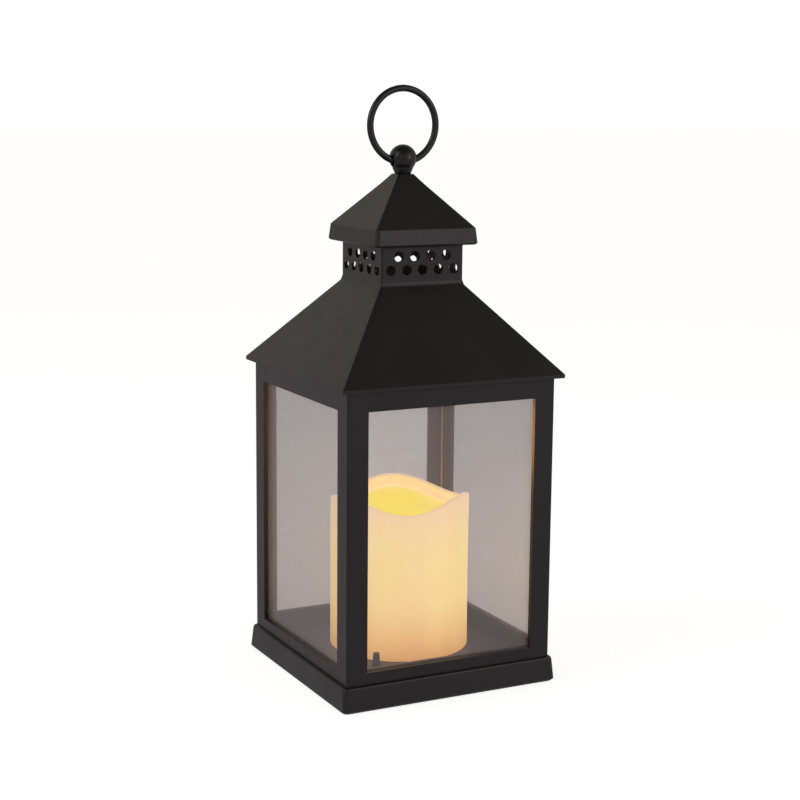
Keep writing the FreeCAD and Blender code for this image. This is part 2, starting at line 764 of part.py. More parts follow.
def rounded_path(corners):
    """Straight runs joined by tangent arcs, each as large as its two runs allow."""
    edges = []
    at = corners[0]
    for before, corner, after in zip(corners, corners[1:], corners[2:]):
        back = (before - corner).normalize()
        ahead = (after - corner).normalize()
        shorter = min((before - corner).Length, (after - corner).Length)
        trim = 0.45 * shorter
        half_inside = back.getAngle(ahead) / 2
        radius = trim * math.tan(half_inside)
        print(f"lead bend radius {radius:.1f}")
        first = corner + back * trim
        last = corner + ahead * trim
        inner = (back + ahead).normalize()
        middle = corner + inner * (radius / math.sin(half_inside) - radius)
        edges.append(Part.LineSegment(at, first).toShape())
        edges.append(Part.Arc(first, middle, last).toShape())
        at = last
    edges.append(Part.LineSegment(at, corners[-1]).toShape())
    return Part.Wire(edges)


def solar_lead():
    """The thin round lead from the panel to the candle's board."""
    path = rounded_path(lead_route())
    start = path.Edges[0].Vertexes[0].Point
    along = path.Edges[0].tangentAt(0)
    section = Part.Wire(Part.Circle(start, along, size("lead_r")).toShape())
    lead = doc.addObject("Part::Feature", "solar_lead")
    lead.Label = "solar_lead"
    lead.Shape = path.makePipeShell([section], True, False)
    expected = math.pi * size("lead_r") ** 2 * path.Length
    print(f"lead length {path.Length:.1f}, volume {lead.Shape.Volume:.1f} against {expected:.1f}")


# ---- candle --------------------------------------------------------------------------

def candle_shell():
    """A wax-look tube with a sunk dish at the top and a rim that rises and falls three times."""
    body = new_body("candle_blank")
    body.Label = "candle_blank"
    profile = new_sketch(body, "candle_profile", "XZ_Plane")
    top = "rim_mean + rim_wave + 2"
    inner = "candle_r - candle_wall"
    outline(profile, [(inner, "floor_top"), ("candle_r", "floor_top"), ("candle_r", top), (inner, top),
                      (inner, "dish_edge"), ("0", "dish_low"), ("0", "dish_low - dish_thick"),
                      (inner, "dish_edge - dish_thick")])
    revolve(body, "tube", profile)
    shell = doc.addObject("Part::Cut", "candle_shell")
    shell.Label = "candle_shell"
    shell.Base = body
    shell.Tool = rim_cutter()


def rim_cutter():
    """The solid above the wavy rim. Its lower face joins two closed waves."""
    waves = []
    for radius in (size("candle_r") + 2, size("candle_r - candle_wall") - 2):
        wave = Part.BSplineCurve()
        wave.interpolate([rim_point(radius, 10 * step) for step in range(36)], PeriodicFlag=True)
        waves.append(wave.toShape())
    cutter = doc.addObject("Part::Feature", "rim_cutter")
    cutter.Shape = Part.makeRuledSurface(*waves).extrude(Vector(0, 0, 20))
    return cutter


def rim_point(radius, degrees):
    turn = math.radians(degrees)
    lift = size("rim_wave") * math.cos(3 * (turn - math.radians(size("rim_turn"))))
    return Vector(radius * math.cos(turn), radius * math.sin(turn), size("rim_mean") + lift)


def candle_chassis():
    """The disc the candle stands on, with the battery bay that hangs below it."""
    body = new_body("candle_chassis")
    disc = disc_sketch(body, "disc_outline", "candle_r - candle_wall - disc_gap", offset="floor_top")
    pad(body, "disc", disc, "disc_thick")
    outer_x, outer_y = "bay_half_x + bay_wall", "bay_half_y + bay_wall"
    bay = box_sketch(body, "bay_outline", f"-({outer_x})", f"-({outer_y})", outer_x, outer_y,
                     offset="bay_low")
    pad(body, "bay", bay, "bay_roof + bay_wall - bay_low")
    add_door_rails(body)
    hollow = box_sketch(body, "bay_hollow_outline", "-bay_half_x", "-bay_half_y", "bay_half_x",
                        "bay_half_y", offset="bay_low")
    pocket(body, "bay_hollow", hollow, "bay_roof - bay_low", reverse=True)
    boss_places = candle_screw_places()
    bosses = new_sketch(body, "bosses_outline", offset="floor_top + disc_thick")
    for x, y in boss_places:
        circle(bosses, "2.6", x, y)
    pad(body, "bosses", bosses, "5.5")
    pilots = new_sketch(body, "pilots_outline", offset="floor_top")
    for x, y in boss_places:
        circle(pilots, "pilot_r", x, y)
    pocket(body, "pilots", pilots, "6.5", reverse=True)
    posts = new_sketch(body, "board_posts_outline", offset="bay_roof + bay_wall")
    for side in ("-1", "1"):
        circle(posts, "2", f"{side} * 12", "0")
    pad(body, "board_posts", posts, "board_low - bay_roof - bay_wall")
    switch_hole = box_sketch(body, "switch_hole_outline", "-switch_travel / 2 - 5.2", "switch_y - 2.6",
                             "-switch_travel / 2 + 5.2", "switch_y + 2.6", offset="floor_top + disc_thick")
    pocket(body, "switch_hole", switch_hole, "disc_thick")
    cut_hole(body, "lead_hole", "lead_hole_r", *LEAD_RISE, "floor_top + disc_thick", "disc_thick")


def add_door_rails(body):
    """The L-shaped rails that the battery door slides in, and the stop behind it."""
    outer = "bay_half_x + bay_wall + 1.5"
    for name, side in (("left", "-1"), ("right", "1")):
        low_x = f"{side} * ({outer})" if side == "-1" else "bay_half_x + bay_wall"
        high_x = f"{side} * (bay_half_x + bay_wall)" if side == "-1" else outer
        web = box_sketch(body, f"rail_{name}_outline", low_x, "-door_half_y - 1.2", high_x,
                         "bay_half_y + bay_wall", offset="door_low - 0.9")
        pad(body, f"rail_{name}", web, "floor_top - disc_thick - door_low")
        low_x = f"{side} * ({outer})" if side == "-1" else "bay_half_x"
        high_x = f"{side} * bay_half_x" if side == "-1" else outer
        lip = box_sketch(body, f"rail_{name}_lip_outline", low_x, "-door_half_y - 1.2", high_x,
                         "bay_half_y + bay_wall", offset="door_low - 0.9")
        pad(body, f"rail_{name}_lip", lip, "rail_lip")
    stop = box_sketch(body, "door_stop_outline", f"-({outer})", "-door_half_y - 1.2", outer,
                      "-door_half_y - 0.1", offset="door_low - 0.9")
    pad(body, "door_stop", stop, "floor_top - disc_thick - door_low")


def battery_door():
    """The cover that slides out towards the rear. Three ridges give the thumb a grip."""
    body = new_body("battery_door")
    half_x = "bay_half_x + bay_wall - 0.2"
    plate = box_sketch(body, "plate_outline", f"-({half_x})", "-door_half_y", half_x, "door_half_y",
                       offset="door_low")
    pad(body, "plate", plate, "door_thick")
    ridges = new_sketch(body, "ridges_outline", offset="door_low")
    for step in (0, 1, 2):
        rectangle(ridges, "-7", f"{2.0 * step + 1.5}", "7", f"{2.0 * step + 2.3}")
    pad(body, "ridges", ridges, "0.8", reverse=True)


def battery_parts():
    cell = new_body("rechargeable_cell")
    half = "cell_long / 2"
    profile = new_sketch(cell, "cell_profile", "XZ_Plane")
    bind(profile, "AttachmentOffset.Base.y", "cell_z")
    outline(profile, [(f"-{half}", "0"), (f"{half} + 1.2", "0"), (f"{half} + 1.2", "1.9"), (half, "1.9"),
                      (half, "cell_r"), (f"-{half}", "cell_r")])
    revolve(cell, "cell", profile, "H_Axis")
    tall = "4.4"
    for name, low_x, high_x in (("cell_contact", "bay_half_x - 0.5", "bay_half_x - 0.1"),
                                ("spring_plate", "-bay_half_x + 0.1", "-bay_half_x + 0.5")):
        block(name, (low_x, f"-{tall}", "cell_z - 4.8"), (high_x, tall, "cell_z + 4.8"))
    cell_spring()


def cell_spring():
    """A short coil between its plate and the cell's flat end."""
    wire_r = 0.3
    gap = size("bay_half_x - 0.5 - cell_long / 2")
    travel = gap - 2 * wire_r - 0.04
    helix = Part.makeHelix(travel / 2.5, travel, 3.0)
    section = Part.Wire(Part.Circle(Vector(3.0, 0, 0), Vector(0, 1, 0), wire_r).toShape())
    spring = doc.addObject("Part::Feature", "cell_spring")
    spring.Label = "cell_spring"
    spring.Shape = Part.Wire(helix).makePipeShell([section], True, True)
    turn = FreeCAD.Rotation(Vector(0, 1, 0), 90)
    start = Vector(-size("bay_half_x - 0.5") + wire_r + 0.02, 0, size("cell_z"))
    spring.Placement = FreeCAD.Placement(start, turn)


def switch_parts():
    body = new_body("switch_body")
    middle = "-switch_travel / 2"
    case = box_sketch(body, "case_outline", f"{middle} - 5", "switch_y - 2.4", f"{middle} + 5",
                      "switch_y + 2.4", offset="floor_top + 0.05")
    pad(body, "case", case, "4.2")
    track = box_sketch(body, "track_outline", "-switch_travel - 1.6", "switch_y - 1.2", "1.6",
                       "switch_y + 1.2", offset="floor_top + 0.05")
    pocket(body, "track", track, "1.6", reverse=True)
    knob = new_body("switch_knob")
    stem = box_sketch(knob, "stem_outline", "-1.3", "switch_y - 1", "1.3", "switch_y + 1",
                      offset="floor_top - floor_thick - 2")
    pad(knob, "stem", stem, "floor_thick + 3.3")
    grip = box_sketch(knob, "grip_outline", "-1.6", "switch_y - 1.3", "1.6", "switch_y + 1.3",
                      offset="floor_top - floor_thick - 2.6")
    pad(knob, "grip", grip, "1")


def electronics():
    board = new_body("control_board")
    disc = disc_sketch(board, "board_outline", "board_r", offset="board_low")
    pad(board, "board", disc, "board_thick")
    top = "board_low + board_thick"
    block("control_chip", ("8", "6", top), ("13", "10", f"{top} + 1.5"))
    coil = new_body("step_up_coil")
    drum = disc_sketch(coil, "coil_outline", "2.6", "-11", "8", top)
    pad(coil, "coil", drum, "4")
    post = new_body("lamp_post")
    tube = disc_sketch(post, "post_outline", "4", offset=top)
    pad(post, "post", tube, f"post_top - ({top})")
    bore = disc_sketch(post, "post_bore_outline", "2.4", offset="post_top")
    pocket(post, "post_bore", bore, f"post_top - ({top})")
    lamp = new_body("led_lamp")
    profile = new_sketch(lamp, "lamp_profile", "XZ_Plane")
    dome = "post_top + 6"
    outline(profile, [("0", "post_top"), ("lamp_r + 0.4", "post_top"), ("lamp_r + 0.4", "post_top + 1"),
                      ("lamp_r", "post_top + 1"), ("lamp_r", dome), ("0", f"{dome} + lamp_r")],
            {4: ("0", dome, "lamp_r", 1)})
    revolve(lamp, "lamp", profile)
    legs = []
    for name, place in (("led_leg_long", 1.27), ("led_leg_short", -1.27)):
        leg = doc.addObject("Part::Box", name)
        bind(leg, "Length", "0.5")
        bind(leg, "Width", "0.5")
        bind(leg, "Height", f"post_top - ({top})")
        bind(leg, "Placement.Base.x", f"{place} - 0.25")
        bind(leg, "Placement.Base.y", "-0.25")
        bind(leg, "Placement.Base.z", top)
        legs.append(leg)
    fused("led_legs", legs)


# ---- build and write -----------------------------------------------------------------

NODES = [
    "base_plinth", "feet", "base_screws",
    "wall_frame", "pane_front", "pane_rear", "pane_left", "pane_right",
    "roof", "roof_screws", "cap",
    "finial_base", "finial_top", "finial_screw", "hanging_ring",
    "solar_panel", "solar_gasket", "solar_lead",
    "candle_shell", "candle_chassis", "candle_screws",
    "battery_door", "rechargeable_cell", "cell_contact", "spring_plate", "cell_spring",
    "switch_body", "switch_knob",
    "control_board", "control_chip", "step_up_coil", "lamp_post", "led_lamp", "led_legs",
]


def build():
    base_plinth()
    feet()
    wall_frame()
    panes()
    roof()
    cap()
    finial_base()
    finial_top()
    hanging_ring()
    all_screws()
    solar_panel()
    solar_gasket()
    solar_lead()
    candle_shell()
    candle_chassis()
    battery_door()
    battery_parts()
    switch_parts()
    electronics()
    doc.recompute()


def check_and_write():
    for item in doc.Objects:
        if "Invalid" in item.State or "Error" in item.State:
            raise RuntimeError(f"{item.Label} failed: {item.State}")
    os.makedirs("parts", exist_ok=True)
    for name in NODES:
        node = doc.getObjectsByLabel(name)[0]
        if node.Shape.isNull() or not node.Shape.isValid():
            raise RuntimeError(f"{name} has no valid shape")
        node.Shape.exportStep(f"parts/{name}.step")
        box = node.Shape.BoundBox
        print(f"{name:20s} solids {len(node.Shape.Solids)}  volume {node.Shape.Volume:9.1f}  "
              f"z {box.ZMin:.2f} to {box.ZMax:.2f}")


build()
check_and_write()
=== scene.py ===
"""Looks for the square solar lantern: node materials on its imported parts, smooth meshes where the
packed ones are too coarse, a pale floor, studio light and the camera."""

import json
import math

import bmesh
import bpy
from mathutils import Matrix, Vector


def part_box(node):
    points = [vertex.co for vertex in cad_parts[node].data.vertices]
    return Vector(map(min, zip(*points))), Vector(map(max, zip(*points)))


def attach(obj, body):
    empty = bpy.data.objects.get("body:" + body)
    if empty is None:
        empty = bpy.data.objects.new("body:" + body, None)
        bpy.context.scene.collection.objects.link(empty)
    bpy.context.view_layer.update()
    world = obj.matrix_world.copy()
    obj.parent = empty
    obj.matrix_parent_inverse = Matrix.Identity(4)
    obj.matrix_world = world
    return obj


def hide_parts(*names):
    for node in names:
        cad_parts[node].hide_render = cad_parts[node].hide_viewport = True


MM = 0.001

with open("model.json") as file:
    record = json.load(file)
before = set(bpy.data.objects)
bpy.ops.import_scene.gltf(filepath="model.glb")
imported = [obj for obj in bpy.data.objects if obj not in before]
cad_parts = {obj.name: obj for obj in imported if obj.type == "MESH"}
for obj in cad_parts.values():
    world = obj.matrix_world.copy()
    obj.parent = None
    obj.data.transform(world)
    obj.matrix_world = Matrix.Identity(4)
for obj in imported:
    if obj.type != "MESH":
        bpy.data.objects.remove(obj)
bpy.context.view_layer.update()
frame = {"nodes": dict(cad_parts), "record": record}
nodes = frame["nodes"]
scene = bpy.context.scene


# ---- node materials ------------------------------------------------------------------

class Shade:
    """The node tree of one material, or of the world.

    A value given to a socket is a number, a colour or another node's output."""

    def __init__(self, name, owners=bpy.data.materials, kind="Material"):
        self.owner = owners.new(name)
        self.owner.use_nodes = True
        self.tree = self.owner.node_tree
        self.tree.nodes.clear()
        self.output = self.tree.nodes.new("ShaderNodeOutput" + kind)

    def node(self, kind, sockets=None, **settings):
        made = self.tree.nodes.new("ShaderNode" + kind)
        for key, value in settings.items():
            setattr(made, key, value)
        for key, value in (sockets or {}).items():
            self.plug(made.inputs[key], value)
        return made

    def plug(self, socket, value):
        if isinstance(value, bpy.types.NodeSocket):
            self.tree.links.new(value, socket)
        elif socket.type == "RGBA" and len(value) == 3:
            socket.default_value = (*value, 1)
        else:
            socket.default_value = value

    def place(self, stretch=(1, 1, 1)):
        """The object's own coordinates, in metres. A factor under 1 draws a pattern out along its
        axis, and one over 1 squeezes it."""
        coordinates = self.node("TexCoord").outputs["Object"]
        return self.node("Mapping", {"Vector": coordinates, "Scale": stretch}).outputs["Vector"]

    def along(self, axis, vector=None):
        """One coordinate of a vector, or of the object's own coordinates."""
        source = self.place() if vector is None else vector
        return self.node("SeparateXYZ", {"Vector": source}).outputs[axis]

    def noise(self, size, detail=2.0, stretch=(1, 1, 1)):
        """Cloudy noise from 0 to 1 whose lumps are about size metres across."""
        return self.node("TexNoise", {"Vector": self.place(stretch), "Scale": 1 / size,
                                      "Detail": detail}).outputs["Fac"]

    def spread(self, factor, low, high, start=0.3, end=0.7):
        """factor from start to end becomes low to high."""
        return self.node("MapRange", {"Value": factor, "From Min": start, "From Max": end,
                                      "To Min": low, "To Max": high}).outputs["Result"]

    def math(self, operation, first, second=0.0, third=0.0):
        return self.node("Math", {0: first, 1: second, 2: third}, operation=operation).outputs[0]

    def blend(self, factor, first, second):
        mixer = self.node("Mix", data_type="RGBA")
        self.plug(mixer.inputs["Factor"], factor)
        self.plug(mixer.inputs[6], first)
        self.plug(mixer.inputs[7], second)
        return mixer.outputs[2]

    def ramp(self, factor, stops, interpolation="LINEAR"):
        """A colour for each factor, from (factor, colour) stops."""
        made = self.node("ValToRGB", {"Fac": factor})
        made.color_ramp.interpolation = interpolation
        elements = made.color_ramp.elements
        while len(elements) < len(stops):
            elements.new(0.5)
        for element, (place, colour) in zip(elements, stops):
            element.position = place
            element.color = (*colour, 1)
        return made.outputs["Color"]

    def bump(self, height, depth):
        return self.node("Bump", {"Height": height, "Distance": depth}).outputs["Normal"]

    def mix_shaders(self, factor, first, second):
        return self.node("MixShader", {0: factor, 1: first, 2: second}).outputs[0]

    def principled(self, **sockets):
        named = {key.replace("_", " "): value for key, value in sockets.items()}
        return self.node("BsdfPrincipled", named).outputs["BSDF"]

    def done(self, shader):
        self.tree.links.new(shader, self.output.inputs["Surface"])
        return self.owner


def scaled(colour, factor):
    return tuple(channel * factor for channel in colour)


def moulded(name, colour, roughness, grain=0.6 * MM, depth=0.02 * MM, mottle=0.2):
    """Moulded plastic: a fine grain from the tool, faintly cloudy colour and an uneven sheen."""
    shade = Shade(name)
    unevenness = 0.03
    cloud = shade.noise(22 * MM, 3)
    fine = shade.noise(grain)
    flow = shade.noise(6 * MM, 4, (1, 1, 0.25))
    base = shade.blend(shade.spread(cloud, 0, 1), scaled(colour, 1 - mottle),
                       scaled(colour, 1 + mottle))
    sheen = shade.spread(flow, roughness - unevenness, roughness + unevenness)
    height = shade.math("MULTIPLY_ADD", flow, 0.6, fine)
    return shade.done(shade.principled(Base_Color=base, Roughness=sheen, IOR=1.45,
                                       Normal=shade.bump(height, depth)))


def metal(name, colour, roughness, brush=(1, 1, 12)):
    """Plated steel with fine drawing lines and small dull patches."""
    shade = Shade(name)
    line_sheen, patch_sheen = 0.07, 0.08
    lines = shade.noise(0.7 * MM, 3, brush)
    patches = shade.noise(3 * MM, 4)
    base = shade.blend(shade.spread(patches, 0, 1), scaled(colour, 0.82), colour)
    sheen = shade.math("ADD", shade.spread(lines, roughness - line_sheen, roughness + line_sheen),
                       shade.spread(patches, patch_sheen, 0.0))
    return shade.done(shade.principled(Base_Color=base, Metallic=1.0, Roughness=sheen,
                                       Normal=shade.bump(lines, 0.01 * MM)))


def clear_sheet(name, tint, slanted_tint, haze):
    """A clear sheet: it tints what is behind it, more so at a slant, mirrors softly and carries a
    film of dust."""
    shade = Shade(name)
    least_mirror, slanted_mirror = 0.03, 0.7
    facing = shade.node("LayerWeight", {"Blend": 0.5}).outputs["Facing"]
    mirror = shade.math("MULTIPLY_ADD", shade.math("POWER", facing, 5.0), slanted_mirror,
                        least_mirror)
    tinted = shade.blend(shade.math("POWER", facing, 1.5), tint, slanted_tint)
    through = shade.node("BsdfTransparent", {"Color": tinted}).outputs[0]
    dust = shade.node("BsdfDiffuse", {"Color": (0.90, 0.85, 0.87)}).outputs[0]
    film = shade.spread(shade.noise(60 * MM), 0.96 * haze, 1.04 * haze)
    smear = shade.spread(shade.noise(30 * MM), 0.27, 0.33)
    gloss = shade.node("BsdfGlossy", {"Color": (1, 1, 1), "Roughness": smear}).outputs[0]
    return shade.done(shade.mix_shaders(mirror, shade.mix_shaders(film, through, dust), gloss))


CANDLE_LOW, CANDLE_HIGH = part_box("candle_shell")
GLOW = 1.42
WALL_GLOW = [
    (0.00, (0.64, 0.30, 0.075)),
    (0.15, (0.80, 0.43, 0.14)),
    (0.36, (0.86, 0.60, 0.26)),
    (0.60, (0.87, 0.66, 0.28)),
    (0.82, (0.86, 0.635, 0.345)),
    (1.00, (0.84, 0.58, 0.39)),
]
WARM_PATCH_GLOW = (0.88, 0.69, 0.22)
INNER_GLOW = [
    (0.10, (0.82, 0.54, 0.28)),
    (0.42, (0.84, 0.58, 0.26)),
    # A brighter band just inside the bowl's edge, where the inner wall meets the dish: a painted
    # highlight in the glow
    (0.54, (0.94, 0.72, 0.36)),
    (0.66, (0.86, 0.67, 0.12)),
    (1.00, (0.87, 0.71, 0.045)),
]


def candle_wax(name):
    """Wax-look shell lit from inside: orange at the foot, ivory above, yellow in the dish.

    The wall's colours follow the height, moved up and down by streaks, with yellower patches at
    mid-height. The bowl's follow the mesh's 'inward' attribute."""
    shade = Shade(name)
    streak_shift, patch_strength = 0.12, 2.6
    height = shade.spread(shade.along("Z"), 0, 1, CANDLE_LOW.z, CANDLE_HIGH.z)
    streaks = shade.noise(9 * MM, 3, (1, 1, 0.12))
    shifted = shade.math("ADD", shade.math("MULTIPLY_ADD", streaks, streak_shift, height),
                         -streak_shift / 2)
    mid_height = shade.math("MULTIPLY", height, shade.math("SUBTRACT", 1.0, height))
    patches = shade.spread(shade.noise(24 * MM, 1, (1, 1, 0.2)), 0, patch_strength)
    wall = shade.blend(shade.math("MULTIPLY", patches, mid_height),
                       shade.ramp(shifted, WALL_GLOW), WARM_PATCH_GLOW)
    inward = shade.node("Attribute", attribute_name="inward").outputs["Fac"]
    glow = shade.blend(shade.spread(inward, 0, 1, 0.02, 0.12), wall,
                       shade.ramp(inward, INNER_GLOW))
    wax = shade.blend(shade.spread(streaks, 0, 1), (0.66, 0.52, 0.32), (0.74, 0.60, 0.40))
    pores = shade.noise(1.2 * MM, 4)
    height_map = shade.math("MULTIPLY_ADD", streaks, 0.5, pores)
    return shade.done(shade.principled(
        Base_Color=wax, Roughness=shade.spread(pores, 0.42, 0.6), Emission_Color=glow,
        Emission_Strength=GLOW, Normal=shade.bump(height_map, 0.04 * MM)))


def solar_cells(name):
    """Dark blue cells under clear resin, with thin silver fingers and busbars."""
    shade = Shade(name)
    low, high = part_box("solar_panel")
    cells, finger_pitch = 5, 1.1 * MM
    finger_share, busbar_half, gap_from = 0.13, 0.03, 0.485
    rows = shade.math("FRACT", shade.math("MULTIPLY", shade.along("Z"), 1 / finger_pitch))
    fingers = shade.math("LESS_THAN", rows, finger_share)
    from_left = shade.math("SUBTRACT", shade.along("X"), low.x)
    columns = shade.math("FRACT", shade.math("DIVIDE", from_left, (high.x - low.x) / cells))
    from_middle = shade.math("ABSOLUTE", shade.math("SUBTRACT", columns, 0.5))
    gaps = shade.math("GREATER_THAN", from_middle, gap_from)
    busbar = shade.math("LESS_THAN", from_middle, busbar_half)
    crystal = shade.noise(3.5 * MM)
    silicon = shade.blend(shade.spread(crystal, 0, 1), (0.006, 0.010, 0.035),
                          (0.012, 0.022, 0.075))
    printed = shade.blend(shade.math("MAXIMUM", fingers, busbar), silicon, (0.30, 0.31, 0.33))
    return shade.done(shade.principled(
        Base_Color=shade.blend(gaps, printed, (0.02, 0.02, 0.02)),
        Roughness=shade.spread(crystal, 0.22, 0.32), Coat_Weight=1.0, Coat_Roughness=0.06,
        Normal=shade.bump(crystal, 0.01 * MM)))


def copper_winding(name):
    """Enamelled copper wire wound round an upright core."""
    shade = Shade(name)
    pitch = 0.4 * MM
    turns = shade.math("SINE", shade.math("MULTIPLY", shade.along("Z"), 2 * math.pi / pitch))
    stain = shade.noise(2 * MM, 3)
    enamel = shade.blend(shade.spread(stain, 0, 1), (0.45, 0.17, 0.06), (0.72, 0.33, 0.14))
    return shade.done(shade.principled(
        Base_Color=enamel, Metallic=1.0, Roughness=shade.spread(stain, 0.25, 0.4),
        Normal=shade.bump(turns, 0.12 * MM)))


def circuit_board(name):
    """Green solder mask over faint tracks."""
    shade = Shade(name)
    waves = {"Vector": shade.place(), "Scale": 55.0, "Distortion": 6.0, "Detail": 0.0,
             "Detail Scale": 2.0}
    tracks = shade.node("TexWave", waves, bands_direction="DIAGONAL").outputs["Fac"]
    ridge = shade.spread(tracks, 0, 1, 0.55, 0.62)
    speck = shade.noise(0.8 * MM)
    mask = shade.blend(ridge, (0.008, 0.085, 0.030), (0.02, 0.16, 0.055))
    return shade.done(shade.principled(Base_Color=mask, Roughness=shade.spread(speck, 0.28, 0.42),
                                       Normal=shade.bump(ridge, 0.03 * MM)))


def lamp_lens(name):
    """A clear warm lens that glows."""
    shade = Shade(name)
    swirl = shade.noise(2 * MM)
    return shade.done(shade.principled(
        Base_Color=(0.9, 0.75, 0.42), Roughness=shade.spread(swirl, 0.06, 0.14),
        Emission_Color=(1.0, 0.72, 0.34), Emission_Strength=shade.spread(swirl, 3.4, 4.2)))


def cell_sleeve(name):
    """Shrink sleeve: plain green with a wide pale band, bare metal at both ends, and the fine
    ripple of shrunk film."""
    shade = Shade(name)
    low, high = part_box("rechargeable_cell")
    green, pale = (0.02, 0.16, 0.09), (0.72, 0.74, 0.70)
    stops = [(0.0, (0.55, 0.55, 0.53)), (0.035, green), (0.69, pale), (0.965, (0.6, 0.6, 0.58))]
    share = shade.spread(shade.along("X"), 0, 1, low.x, high.x)
    colour = shade.ramp(share, stops, "CONSTANT")
    ripple = shade.noise(2.5 * MM, 3, (0.3, 1, 1))
    return shade.done(shade.principled(
        Base_Color=colour, Roughness=shade.spread(ripple, 0.22, 0.36),
        Normal=shade.bump(ripple, 0.05 * MM)))


FINISHES = {
    "black_plastic": moulded("black_plastic", (0.0105, 0.0098, 0.0092), 0.40),
    "satin_plastic": moulded("satin_plastic", (0.006, 0.0055, 0.005), 0.29, grain=0.9 * MM,
                             depth=0.006 * MM),
    "clear_pane": clear_sheet("clear_pane", (0.868, 0.857, 0.855), (0.645, 0.64, 0.65), 0.115),
    "candle_wax": candle_wax("candle_wax"),
    "white_plastic": moulded("white_plastic", (0.72, 0.69, 0.61), 0.42, mottle=0.05),
    "solar_cell": solar_cells("solar_cell"),
    "foam": moulded("foam", (0.035, 0.035, 0.035), 0.9, grain=0.4 * MM, depth=0.12 * MM),
    # The lead's pale warm sleeve, down the frame's inner corner, is partly its own colour and
    # partly a painted highlight: it gives the bright candle-lit line in that corner
    "lead_sleeve": moulded("lead_sleeve", (0.72, 0.42, 0.30), 0.38, grain=0.5 * MM,
                           depth=0.01 * MM),
    "foot_rubber": moulded("foot_rubber", (0.02, 0.02, 0.02), 0.82, grain=0.5 * MM,
                           depth=0.05 * MM),
    "screw_steel": metal("screw_steel", (0.60, 0.60, 0.62), 0.30),
    "contact_metal": metal("contact_metal", (0.74, 0.72, 0.68), 0.25, (12, 1, 1)),
    "cell_sleeve": cell_sleeve("cell_sleeve"),
    "board_green": circuit_board("board_green"),
    "chip_black": moulded("chip_black", (0.012, 0.012, 0.013), 0.55, grain=0.3 * MM),
    "coil_copper": copper_winding("coil_copper"),
    "led_lens": lamp_lens("led_lens"),
}
SLOT_OF = {part["node"]: part["material_slot"] for part in frame["record"]["subparts"]}
EDGE_ROUNDING = {
    "base_plinth": 0.6 * MM,
    "wall_frame": 0.35 * MM,
    "roof": 0.35 * MM,
    "cap": 0.6 * MM,
    "finial_base": 0.25 * MM,
    "finial_top": 0.25 * MM,
}


def soften(obj, width):
    """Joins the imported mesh's split corners and rounds its sharp edges a little."""
    weld = obj.modifiers.new("weld", "WELD")
    weld.merge_threshold = 0.002 * MM
    flat = obj.modifiers.new("flat", "DECIMATE")
    flat.decimate_type = "DISSOLVE"
    flat.angle_limit = math.radians(0.4)
    bevel = obj.modifiers.new("edges", "BEVEL")
    bevel.width = width
    bevel.segments = 2
    bevel.limit_method = "ANGLE"
    bevel.angle_limit = math.radians(35)
    weighted = obj.modifiers.new("normals", "WEIGHTED_NORMAL")
    weighted.weight = 100


def dress_packed_parts():
    """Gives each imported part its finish, and the mouldings their rounded edges."""
    for name, node in nodes.items():
        node.data.materials.clear()
        node.data.materials.append(FINISHES[SLOT_OF[name]])
    for name, width in EDGE_ROUNDING.items():
        soften(nodes[name], width)


# ---- pieces rebuilt as smooth meshes -------------------------------------------------

def turned_mesh(name, loop, count):
    """A mesh of count closed loops about the Z axis. loop(angle) gives the (radius, height)
    points of one of them."""
    angles = [2 * math.pi * step / count for step in range(count)]
    loops = [loop(angle) for angle in angles]
    size = len(loops[0])
    points = [(radius * math.cos(angle), radius * math.sin(angle), z)
              for angle, ring in zip(angles, loops) for radius, z in ring]
    faces = []
    for step in range(count):
        this, following = step * size, (step + 1) % count * size
        for spot in range(size):
            after = (spot + 1) % size
            faces.append((this + spot, following + spot, following + after, this + after))
    mesh = bpy.data.meshes.new(name)
    mesh.from_pydata(points, [], faces)
    mesh.validate()
    return mesh


def finished(name, mesh, body, cad_node):
    """Tidies a mesh, shades it smooth and puts it in the place of a CAD node."""
    shape = bmesh.new()
    shape.from_mesh(mesh)
    bmesh.ops.remove_doubles(shape, verts=shape.verts, dist=0.001 * MM)
    bmesh.ops.recalc_face_normals(shape, faces=shape.faces)
    for face in shape.faces:
        face.smooth = True
    shape.to_mesh(mesh)
    shape.free()
    slot = SLOT_OF[cad_node]
    mesh.materials.append(FINISHES[slot])
    piece = bpy.data.objects.new(name, mesh)
    scene.collection.objects.link(piece)
    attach(piece, body)
    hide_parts(cad_node)
    return piece


def arc(centre_r, centre_z, radius, start, finish, steps):
    """Points of an arc in a turned profile, angles in degrees."""
    turns = [math.radians(start + (finish - start) * step / steps) for step in range(steps + 1)]
    return [(centre_r + radius * math.cos(turn), centre_z + radius * math.sin(turn))
            for turn in turns]


def limited(share):
    return min(1.0, max(0.0, share))


CANDLE_R = (CANDLE_HIGH.x - CANDLE_LOW.x) / 2
CANDLE_FOOT = CANDLE_LOW.z
FOOT_ROUND = 0.5 * MM
WALL, WALL_SAG, WALL_STEPS = 2.5 * MM, 0.10 * MM, 26
RIM_MEAN, RIM_WAVE, RIM_TURN = 80.3 * MM, 3.0 * MM, math.radians(70)
LIP_OUT, LIP_IN, LIP_WIDE = 1.1 * MM, 1.0 * MM, 3.1 * MM
BOWL_R, BOWL_LOW, BOWL_RISE = 27.4 * MM, 71.3 * MM, 3.6 * MM
BOWL_DROP, BOWL_CLIMB_FROM, BOWL_THICK, BOWL_STEPS = 4.8 * MM, 0.55, 2.0 * MM, 22


def rim_height(angle):
    return RIM_MEAN + RIM_WAVE * math.cos(3 * (angle - RIM_TURN))


